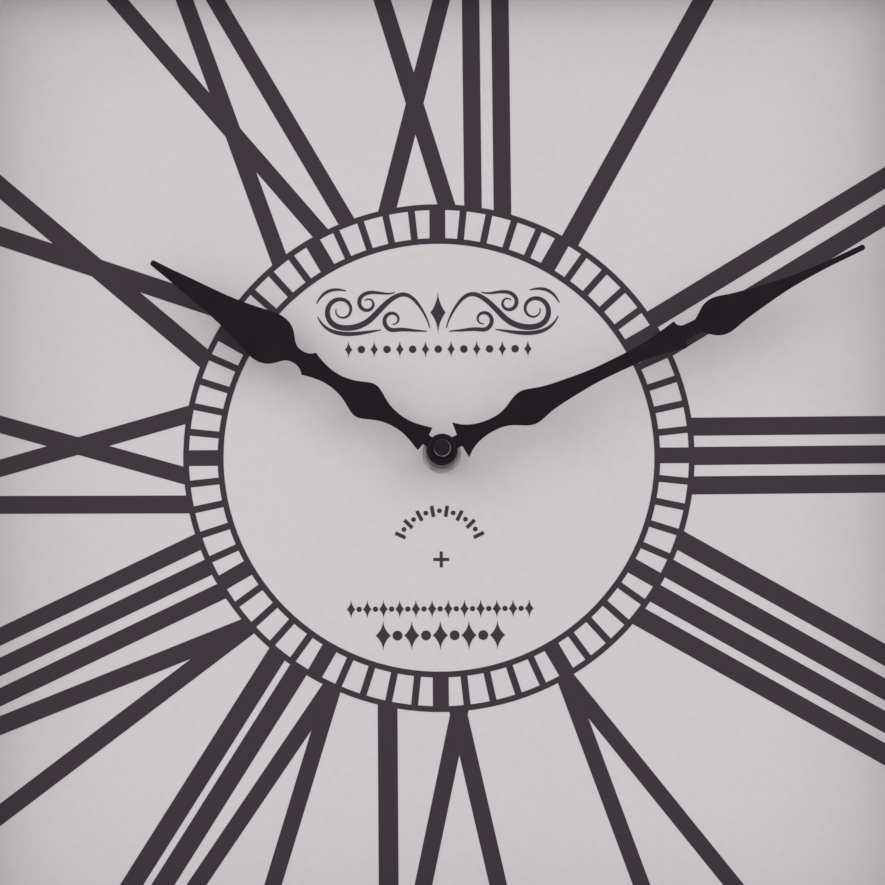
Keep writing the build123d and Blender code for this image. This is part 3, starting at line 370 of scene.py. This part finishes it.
def rubber():
    """Dusty black rubber."""
    g = Graph("rubber", (0.03, 0.03, 0.032), 0.8)
    dust = g.noise(500, 5)
    g.colour(g.ramp(dust, (0.35, (0.024, 0.024, 0.026)), (0.8, (0.060, 0.058, 0.056))))
    g.bump(dust, 0.03 * MM, 0.6)
    return g.material


def battery_jacket():
    """Printed jacket in plain bands, wrapped over the edges of a steel can that shows at both ends."""
    g = Graph("battery_jacket", (0.09, 0.2, 0.3), 0.32)
    low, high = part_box("battery")
    along = g.math("DIVIDE", g.math("SUBTRACT", g.axes()[0], low.x), high.x - low.x)
    bands = g.ramp(along, (0.0, (0.035, 0.075, 0.12)), (0.70, (0.62, 0.60, 0.56)), (0.76, (0.60, 0.22, 0.05)))
    for made in [n for n in g.tree.nodes if n.type == "VALTORGB"]:
        made.color_ramp.interpolation = "CONSTANT"
    steel = g.span(g.radius((low + high) / 2, "X"), 5.75 * MM, 5.65 * MM)
    scuff = g.noise(300, 4)
    jacket = g.blend(g.span(scuff, 0.5, 0.8, 0.0, 0.05), bands, (0.5, 0.5, 0.5))
    g.colour(g.blend(steel, jacket, (0.56, 0.56, 0.57)))
    g.wire(steel, g.shader.inputs["Metallic"])
    g.rough(g.span(scuff, 0.3, 0.7, 0.24, 0.38))
    return g.material


def circuit_green():
    """Solder mask with fine tracks under it."""
    g = Graph("circuit_green", (0.05, 0.22, 0.10), 0.35)
    brick = g.node("ShaderNodeTexBrick")
    swapped = g.node("ShaderNodeCombineXYZ")
    x, _, z = g.axes()
    g.wire(x, swapped.inputs[0])
    g.wire(z, swapped.inputs[1])
    g.wire(swapped.outputs[0], brick.inputs["Vector"])
    brick.inputs["Scale"].default_value = 260
    brick.inputs["Mortar Size"].default_value = 0.04
    g.colour(g.blend(brick.outputs["Fac"], (0.035, 0.17, 0.075), (0.10, 0.33, 0.14)))
    g.bump(brick.outputs["Fac"], 0.03 * MM)
    return g.material


def copper_wire():
    """Enamelled wire in close turns around the coil's axis."""
    g = Graph("copper_wire", (0.70, 0.30, 0.16), 0.3, 1.0)
    wire = 0.22 * MM
    turn_ridge_and_shade = g.math("SINE", g.math("MULTIPLY", g.axes()[0], tau / wire))
    # painted shade and highlight: the colour is dark in the grooves between turns and bright on their crests
    g.colour(g.blend(g.span(turn_ridge_and_shade, -1.0, 1.0), (0.30, 0.10, 0.04), (0.78, 0.34, 0.18)))
    g.bump(turn_ridge_and_shade, 0.04 * MM)
    return g.material


def gear_plastic():
    """Pale moulded plastic that lets a little light through."""
    g = Graph("gear_plastic", (0.78, 0.76, 0.70), 0.4)
    g.shader.inputs["Subsurface Weight"].default_value = 0.15
    g.shader.inputs["Subsurface Radius"].default_value = (0.001, 0.001, 0.001)
    g.colour(g.ramp(g.noise(200, 3), (0.3, (0.74, 0.72, 0.66)), (0.7, (0.80, 0.78, 0.72))))
    g.bump(g.noise(1500, 3), 0.01 * MM, 0.5)
    return g.material


dress(lacquered_wood("lacquer_across", "X"), "frame_rail_top", "frame_rail_bottom")
dress(lacquered_wood("lacquer_upright", "Z"), "frame_rail_left", "frame_rail_right")
dress(dial_paper(), "dial_sheet")
dress(dial_ink(), "numerals_print", "border_print", "minute_ring_print", "ornament_print")
dress(hand_enamel(), "minute_hand", "hour_hand")
dress(cap_enamel(), "cap_nut")
dress(fibre_board(), "dial_board")
dress(rubber(), "wall_bumpers", "rubber_gasket")
dress(plated("zinc_plate", (0.56, 0.57, 0.58), 0.34, (0.1, 1, 1)),
      "corner_brackets", "hanger_plate", "framer_points")
dress(plated("yellow_zinc", (0.60, 0.50, 0.28), 0.30, (1, 1, 1), (0.05, 0.03, 0.0)),
      "bracket_screws", "hanger_screws")
dress(plated("nickel", (0.68, 0.665, 0.68), 0.30), "quartz_crystal")
dress(lathe_metal("washer_nickel", (0.64, 0.62, 0.63), 0.40), "dial_washer")
# painted shade: the nut and bushing get a darker copy of the washer's nickel, standing in for the shade under
# the hub
dress(lathe_metal("nut_nickel_shaded", (0.42, 0.40, 0.41), 0.34), "bushing_nut", "threaded_bushing")
dress(lathe_metal("turned_brass", (0.72, 0.55, 0.28), 0.28), "hour_hand_collet", "minute_pipe")
dress(plated("strip_steel", (0.52, 0.52, 0.53), 0.30, (0.1, 1, 1)),
      "stator", "contact_positive", "contact_negative")
dress(moulded("case_plastic", (0.022, 0.022, 0.024), 0.52), "movement_case", "train_plate")
dress(moulded("cover_plastic", (0.026, 0.026, 0.028), 0.46, 900), "movement_cover")
dress(moulded("knob_plastic", (0.64, 0.63, 0.60), 0.42, 500), "setting_knob")
dress(moulded("bobbin_plastic", (0.50, 0.08, 0.05), 0.42), "coil_bobbin")
dress(moulded("magnet", (0.10, 0.10, 0.11), 0.60, 1200), "rotor")
dress(moulded("chip_resin", (0.010, 0.010, 0.011), 0.22, 300), "clock_chip")
dress(gear_plastic(), "hour_wheel", "centre_wheel", "motion_wheel", "third_wheel", "seconds_wheel",
      "intermediate_wheel")
dress(battery_jacket(), "battery")
dress(circuit_green(), "circuit_board")
dress(copper_wire(), "coil_winding")


# ------------------------------------------------------------------ pieces
def new_piece(name, bm, node):
    """Makes a piece of a bmesh. It rides on the body of a CAD node and takes its material."""
    bmesh.ops.recalc_face_normals(bm, faces=bm.faces)
    mesh = bpy.data.meshes.new(name)
    bm.to_mesh(mesh)
    bm.free()
    if "custom_normal" in mesh.attributes:   # brought by a CAD node's copy, and wrong once its edges are cut
        mesh.attributes.remove(mesh.attributes["custom_normal"])
    mesh.set_sharp_from_angle(angle=radians(35))
    for polygon in mesh.polygons:            # a face square to an axis is flat
        polygon.use_smooth = max(abs(c) for c in polygon.normal) < 0.9999
    piece = bpy.data.objects.new(name, mesh)
    scene.collection.objects.link(piece)
    wear(piece, frame["nodes"][node].active_material)
    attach(piece, BODIES[node])
    return piece


def ease(bm, width):
    """Rounds off every edge where two faces meet at more than 30 degrees."""
    sharp = [e for e in bm.edges if len(e.link_faces) == 2 and e.calc_face_angle() > radians(30)]
    bmesh.ops.bevel(bm, geom=sharp, offset=width, segments=2, profile=0.5, affect="EDGES",
                    clamp_overlap=True)


def finished(node, width, gap=0.0):
    """Puts the shape of a CAD node, with rounded edges and sides drawn in by a gap, in place of the node."""
    bm = bmesh.new()
    bm.from_mesh(frame["nodes"][node].data)
    bmesh.ops.remove_doubles(bm, verts=bm.verts, dist=0.0005 * MM)
    bmesh.ops.dissolve_limit(bm, angle_limit=radians(0.5), verts=bm.verts, edges=bm.edges)
    low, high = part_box(node)
    margin = 2.5 * MM                        # the strip along each side that is drawn in, corners and all
    for vertex in bm.verts:
        for axis in (0, 2):
            for side, inward in ((low[axis], gap), (high[axis], -gap)):
                vertex.co[axis] += inward * max(0.0, 1 - abs(vertex.co[axis] - side) / margin)
    ease(bm, width)
    piece = new_piece(f"{node}_finished", bm, node)
    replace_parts(piece, node)


def turned(profile, centre, axis, steps=96, ripple=None, closed=False):
    """Lathe work about a line along X or Y: the profile's points are (place along the line, radius)."""
    bm = bmesh.new()
    rows = []
    for along, radius in profile:
        row = []
        for i in range(steps):
            a = tau * i / steps
            r = radius + (ripple(along, a) if ripple else 0)
            place = (along, centre.y + r * cos(a), centre.z + r * sin(a))
            if axis == "Y":
                place = (centre.x + r * cos(a), along, centre.z + r * sin(a))
            row.append(bm.verts.new(place))
        rows.append(row)
    pairs = list(zip(rows, rows[1:] + rows[:1])) if closed else list(zip(rows, rows[1:]))
    for row, after in pairs:
        for i in range(steps):
            j = (i + 1) % steps
            bm.faces.new((row[i], row[j], after[j], after[i]))
    if not closed:
        bm.faces.new(rows[0])
        bm.faces.new(rows[-1])
    return bm


def raised(outline, back, height):
    """A flat shape in X and Z that stands out of a face at depth back, towards the wall."""
    bm = bmesh.new()
    face = bm.faces.new([bm.verts.new((x, back, z)) for x, z in outline])
    moved = bmesh.ops.extrude_face_region(bm, geom=[face])["geom"]
    for vertex in (v for v in moved if isinstance(v, bmesh.types.BMVert)):
        vertex.co.y += height
    return bm


def battery():
    """Can with a wrapped jacket, a recessed negative disc and a stepped positive nub."""
    low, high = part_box("battery")
    centre = (low + high) / 2
    body, lip, groove = high.z - centre.z, 5.9 * MM, 5.7 * MM       # radii
    sink, turn_ridge_and_shade = 0.35 * MM, 0.6 * MM         # the end's groove, and the jacket's turn over the end
    nub = 1.2 * MM
    left, shoulder = low.x, high.x - nub
    profile = [(left, 4.6 * MM), (left + sink, 4.9 * MM), (left + sink, groove),
               (left + 0.10 * MM, lip), (left + 0.15 * MM, body - turn_ridge_and_shade), (left + 0.15 * MM + turn_ridge_and_shade, body),
               (shoulder - 0.15 * MM - turn_ridge_and_shade, body), (shoulder - 0.15 * MM, body - turn_ridge_and_shade),
               (shoulder - 0.10 * MM, lip), (shoulder - sink, groove), (shoulder - sink, 3.4 * MM),
               (shoulder - 0.05 * MM, 3.1 * MM), (shoulder, 2.7 * MM), (high.x - 0.3 * MM, 2.65 * MM),
               (high.x, 2.3 * MM)]
    bm = turned(profile, centre, "X")
    ease(bm, 0.12 * MM)
    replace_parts(new_piece("battery_can", bm, "battery"), "battery")


def cap():
    """Cap nut with a fluted side, a rolled bead and a slightly dished top."""
    front, back = (corner.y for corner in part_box("cap_nut"))
    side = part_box("cap_nut")[1].x - ARBOR.x
    foot, bead, steps = 0.12 * MM, 0.14 * MM, 8
    profile = [(back, 0.9 * MM), (back, side - foot), (back - foot, side),
               (front + 0.75 * MM, side), (front + 0.35 * MM, side - 0.08 * MM)]
    for i in range(steps + 1):               # the bead, rolled over from the side to the top
        a = pi * i / steps
        profile.append((front + bead * (1 - sin(a)), BEAD_R + bead * cos(a)))
    profile += [(front + 0.30 * MM, BEAD_R - 0.22 * MM), (front + 0.42 * MM, 1.2 * MM),
                (front + 0.44 * MM, 0.3 * MM)]

    flute_count, flute_depth = 36, 0.06 * MM

    def flutes(along, a):
        on_side = 1.0 if front + 0.7 * MM < along < back - 0.05 * MM else 0.0
        return -flute_depth * on_side * (0.5 + 0.5 * cos(flute_count * a))

    bm = turned(profile, ARBOR, "Y", steps=6 * flute_count, ripple=flutes)
    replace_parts(new_piece("cap_shell", bm, "cap_nut"), "cap_nut")


def hub_boss():
    """Domed boss pressed onto the minute hand around the cap."""
    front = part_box("minute_hand")[0].y
    rim, inner, rise, shoulder, steps = 5.35 * MM, 3.3 * MM, 0.55 * MM, 1.1 * MM, 6
    profile = [(front, inner), (front, rim)]
    for i in range(1, steps + 1):
        a = pi / 2 * i / steps
        profile.append((front - rise * sin(a), rim - shoulder * (1 - cos(a))))
    profile.append((front - rise, inner))
    new_piece("minute_boss", turned(profile, ARBOR, "Y", closed=True), "minute_hand")


def bushing_thread():
    """The thread that shows on the bushing in front of its nut."""
    pitch, crest, root, bore = 0.75 * MM, 4.12 * MM, 3.9 * MM, 3.4 * MM
    front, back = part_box("threaded_bushing")[0].y + 0.45 * MM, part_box("bushing_nut")[0].y - 0.02 * MM
    rows = round((back - front) / (pitch / 8))       # eight rows to each turn
    profile = [(front + (back - front) * i / rows, root) for i in range(rows + 1)]

    def ridge(along, a):
        phase = (along / pitch + a / tau) % 1
        return (crest - root) * (1 - abs(2 * phase - 1))

    bm = turned(profile + [(back, bore), (front, bore)], ARBOR, "Y", ripple=ridge, closed=True)
    new_piece("bushing_thread", bm, "threaded_bushing")


def coil():
    """Enamelled wire wound between the bobbin's cheeks, one ridge to each turn."""
    low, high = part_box("coil_winding")
    turns, core, wire = 86, 1.41 * MM, 0.09 * MM
    pitch = (high.x - low.x) / turns
    outer = high.z - (low.z + high.z) / 2
    profile = [(low.x + 0.001 * MM, core)]
    for i in range(turns):
        profile += [(low.x + (i + 0.02) * pitch, outer - wire), (low.x + (i + 0.5) * pitch, outer)]
    profile += [(high.x, outer - wire), (high.x, core)]
    bm = turned(profile, (low + high) / 2, "X", steps=48, closed=True)
    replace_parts(new_piece("wound_coil", bm, "coil_winding"), "coil_winding")


MARK_RISE, MARK_EASE = 0.25 * MM, 0.06 * MM          # of the signs moulded on the cover


def polarity_marks():
    """Raised plus and minus on the cover, above the ends of the battery."""
    low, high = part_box("movement_cover")
    arm, line, inset, height = 1.4 * MM, 0.32 * MM, 4.5 * MM, 2.1 * MM
    bar = [(-arm, -line), (arm, -line), (arm, line), (-arm, line)]
    cross = [(-line, -arm), (line, -arm), (line, -line), (arm, -line), (arm, line), (line, line),
             (line, arm), (-line, arm), (-line, line), (-arm, line), (-arm, -line), (-line, -line)]
    for name, outline, x in (("mark_plus", cross, high.x - inset), ("mark_minus", bar, low.x + inset)):
        bm = raised([(x + dx, low.z + height + dz) for dx, dz in outline], high.y, MARK_RISE)
        ease(bm, MARK_EASE)
        new_piece(name, bm, "movement_cover")


def turning_arrow():
    """Raised arrow around the knob's well: the way to turn it, seen from behind, to set the hands."""
    knob = middle("setting_knob")
    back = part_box("movement_cover")[1].y
    inner, outer, barb = 8.1 * MM, 8.9 * MM, 0.9 * MM
    start, end, point, steps = radians(20), radians(100), radians(16), 20
    arc = [start + (end - start) * i / steps for i in range(steps + 1)]
    head = [(outer + barb, end), ((inner + outer) / 2, end + point), (inner - barb, end)]
    ring = [(outer, a) for a in arc] + head + [(inner, a) for a in reversed(arc)]
    bm = raised([(knob.x + r * cos(a), knob.z + r * sin(a)) for r, a in ring], back, MARK_RISE)
    ease(bm, MARK_EASE)
    new_piece("turning_arrow", bm, "movement_cover")


def cover_lugs():
    """Snap lugs that hold the cover in the case, two at each side."""
    low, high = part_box("movement_cover")
    over, onto, half, rise = 0.7 * MM, 1.6 * MM, 3.0 * MM, 0.5 * MM      # over the case, and onto the cover
    for name, x, into in (("left", low.x, 1), ("right", high.x, -1)):
        for level in (0.25, 0.8):
            z = low.z + level * (high.z - low.z)
            outline = [(x - into * over, z - half), (x + into * onto, z - half),
                       (x + into * onto, z + half), (x - into * over, z + half)]
            bm = raised(outline, high.y, rise)
            ease(bm, 0.15 * MM)
            new_piece(f"cover_lug_{name}_{round(100 * level)}", bm, "movement_cover")


def battery_cradle():
    """Ribs on the floor of the bay, hollowed to the battery."""
    low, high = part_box("battery")
    centre = (low + high) / 2
    floor_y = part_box("movement_case")[0].y + 1.2 * MM        # the case's wall is 1.2 mm
    hollow, thick, half, steps = high.z - centre.z + 0.25 * MM, 1.0 * MM, 6.0 * MM, 16
    for number, part in enumerate((0.2, 0.5, 0.8)):
        x = low.x + part * (high.x - low.x)
        points = [(floor_y, centre.z - half), (floor_y, centre.z + half)]
        for i in range(steps + 1):
            dz = half - 2 * half * i / steps
            points.append((centre.y - (hollow ** 2 - dz ** 2) ** 0.5, centre.z + dz))
        bm = bmesh.new()
        face = bm.faces.new([bm.verts.new((x - thick / 2, y, z)) for y, z in points])
        moved = bmesh.ops.extrude_face_region(bm, geom=[face])["geom"]
        for vertex in (v for v in moved if isinstance(v, bmesh.types.BMVert)):
            vertex.co.x += thick
        ease(bm, 0.1 * MM)
        new_piece(f"cradle_rib_{number + 1}", bm, "movement_case")


for node, width in (("minute_hand", 0.10), ("hour_hand", 0.10), ("hanger_plate", 0.20),
                    ("corner_brackets", 0.20), ("bushing_nut", 0.15), ("setting_knob", 0.15),
                    ("movement_case", 0.15), ("framer_points", 0.08)):
    finished(node, width * MM)
finished("movement_cover", 0.12 * MM, gap=0.16 * MM)
battery()
cap()
hub_boss()
bushing_thread()
coil()
polarity_marks()
turning_arrow()
cover_lugs()
battery_cradle()


# ------------------------------------------------------------------ stage, light and camera
def floor():
    """Plain pale floor under the clock."""
    mesh = bpy.data.meshes.new("studio_floor")
    reach = 26.0
    corners = [(-reach, -reach), (reach, -reach), (reach, reach), (-reach, reach)]
    mesh.from_pydata([(x, y, FLOOR_Z) for x, y in corners], [], [(0, 1, 2, 3)])
    plane = bpy.data.objects.new("studio_floor", mesh)
    scene.collection.objects.link(plane)
    g = Graph("studio_floor", (0.72, 0.71, 0.71), 0.85)
    g.colour(g.ramp(g.noise(3, 3), (0.3, (0.70, 0.69, 0.69)), (0.7, (0.74, 0.73, 0.73))))
    wear(plane, g.material)


def area_light(name, place, size, power):
    """A round lamp that faces the arbor."""
    data = bpy.data.lights.new(name, "AREA")
    data.shape = "DISK"
    data.size = size
    data.energy = power
    lamp = bpy.data.objects.new(name, data)
    scene.collection.objects.link(lamp)
    lamp.location = place
    lamp.rotation_euler = (ARBOR - place).to_track_quat("-Z", "Y").to_euler()


def studio():
    """A pale surround, brighter above, with a soft lamp to each side in front and one behind."""
    world = bpy.data.worlds.new("studio")
    scene.world = world
    world.use_nodes = True
    tree = world.node_tree
    direction = tree.nodes.new("ShaderNodeTexCoord")
    height = tree.nodes.new("ShaderNodeSeparateXYZ")
    sky = tree.nodes.new("ShaderNodeMapRange")
    tree.links.new(direction.outputs["Generated"], height.inputs[0])
    tree.links.new(height.outputs["Z"], sky.inputs["Value"])
    for socket, number in (("From Min", -1), ("From Max", 1), ("To Min", 0.42), ("To Max", 0.85)):
        sky.inputs[socket].default_value = number
    tree.links.new(sky.outputs["Result"], tree.nodes["Background"].inputs["Strength"])
    tree.nodes["Background"].inputs["Color"].default_value = (1.0, 0.985, 0.995, 1)
    for side, power in ((-1, 5.3), (1, 4.8)):
        area_light("window", ARBOR + Vector((1.3 * side, -1.3, 0.78)), 1.2, power)
    area_light("back", ARBOR + Vector((0.6, 1.8, 1.2)), 2.4, 16)


def camera():
    """A long lens about two metres from the dial, below the arbor and looking up at it."""
    data = bpy.data.cameras.new("camera")
    data.sensor_width = 36
    data.lens = 223.7
    data.clip_end = 20
    eye = bpy.data.objects.new("camera", data)
    scene.collection.objects.link(eye)
    distance, left, below = 1.9558, 0.0265, 0.2347
    turn_ridge_and_shade, tilt, roll = radians(0.813), radians(6.990), radians(-0.427)
    look = Matrix.Rotation(-turn_ridge_and_shade, 4, "Z") @ Matrix.Rotation(pi / 2 + tilt, 4, "X")
    look = look @ Matrix.Rotation(roll, 4, "Z")
    place = Vector((RING.x - left, DIAL_Y - distance, RING.z - below))
    eye.matrix_world = Matrix.Translation(place) @ look
    scene.camera = eye


floor()
studio()
camera()
scene.view_settings.view_transform = "Standard"
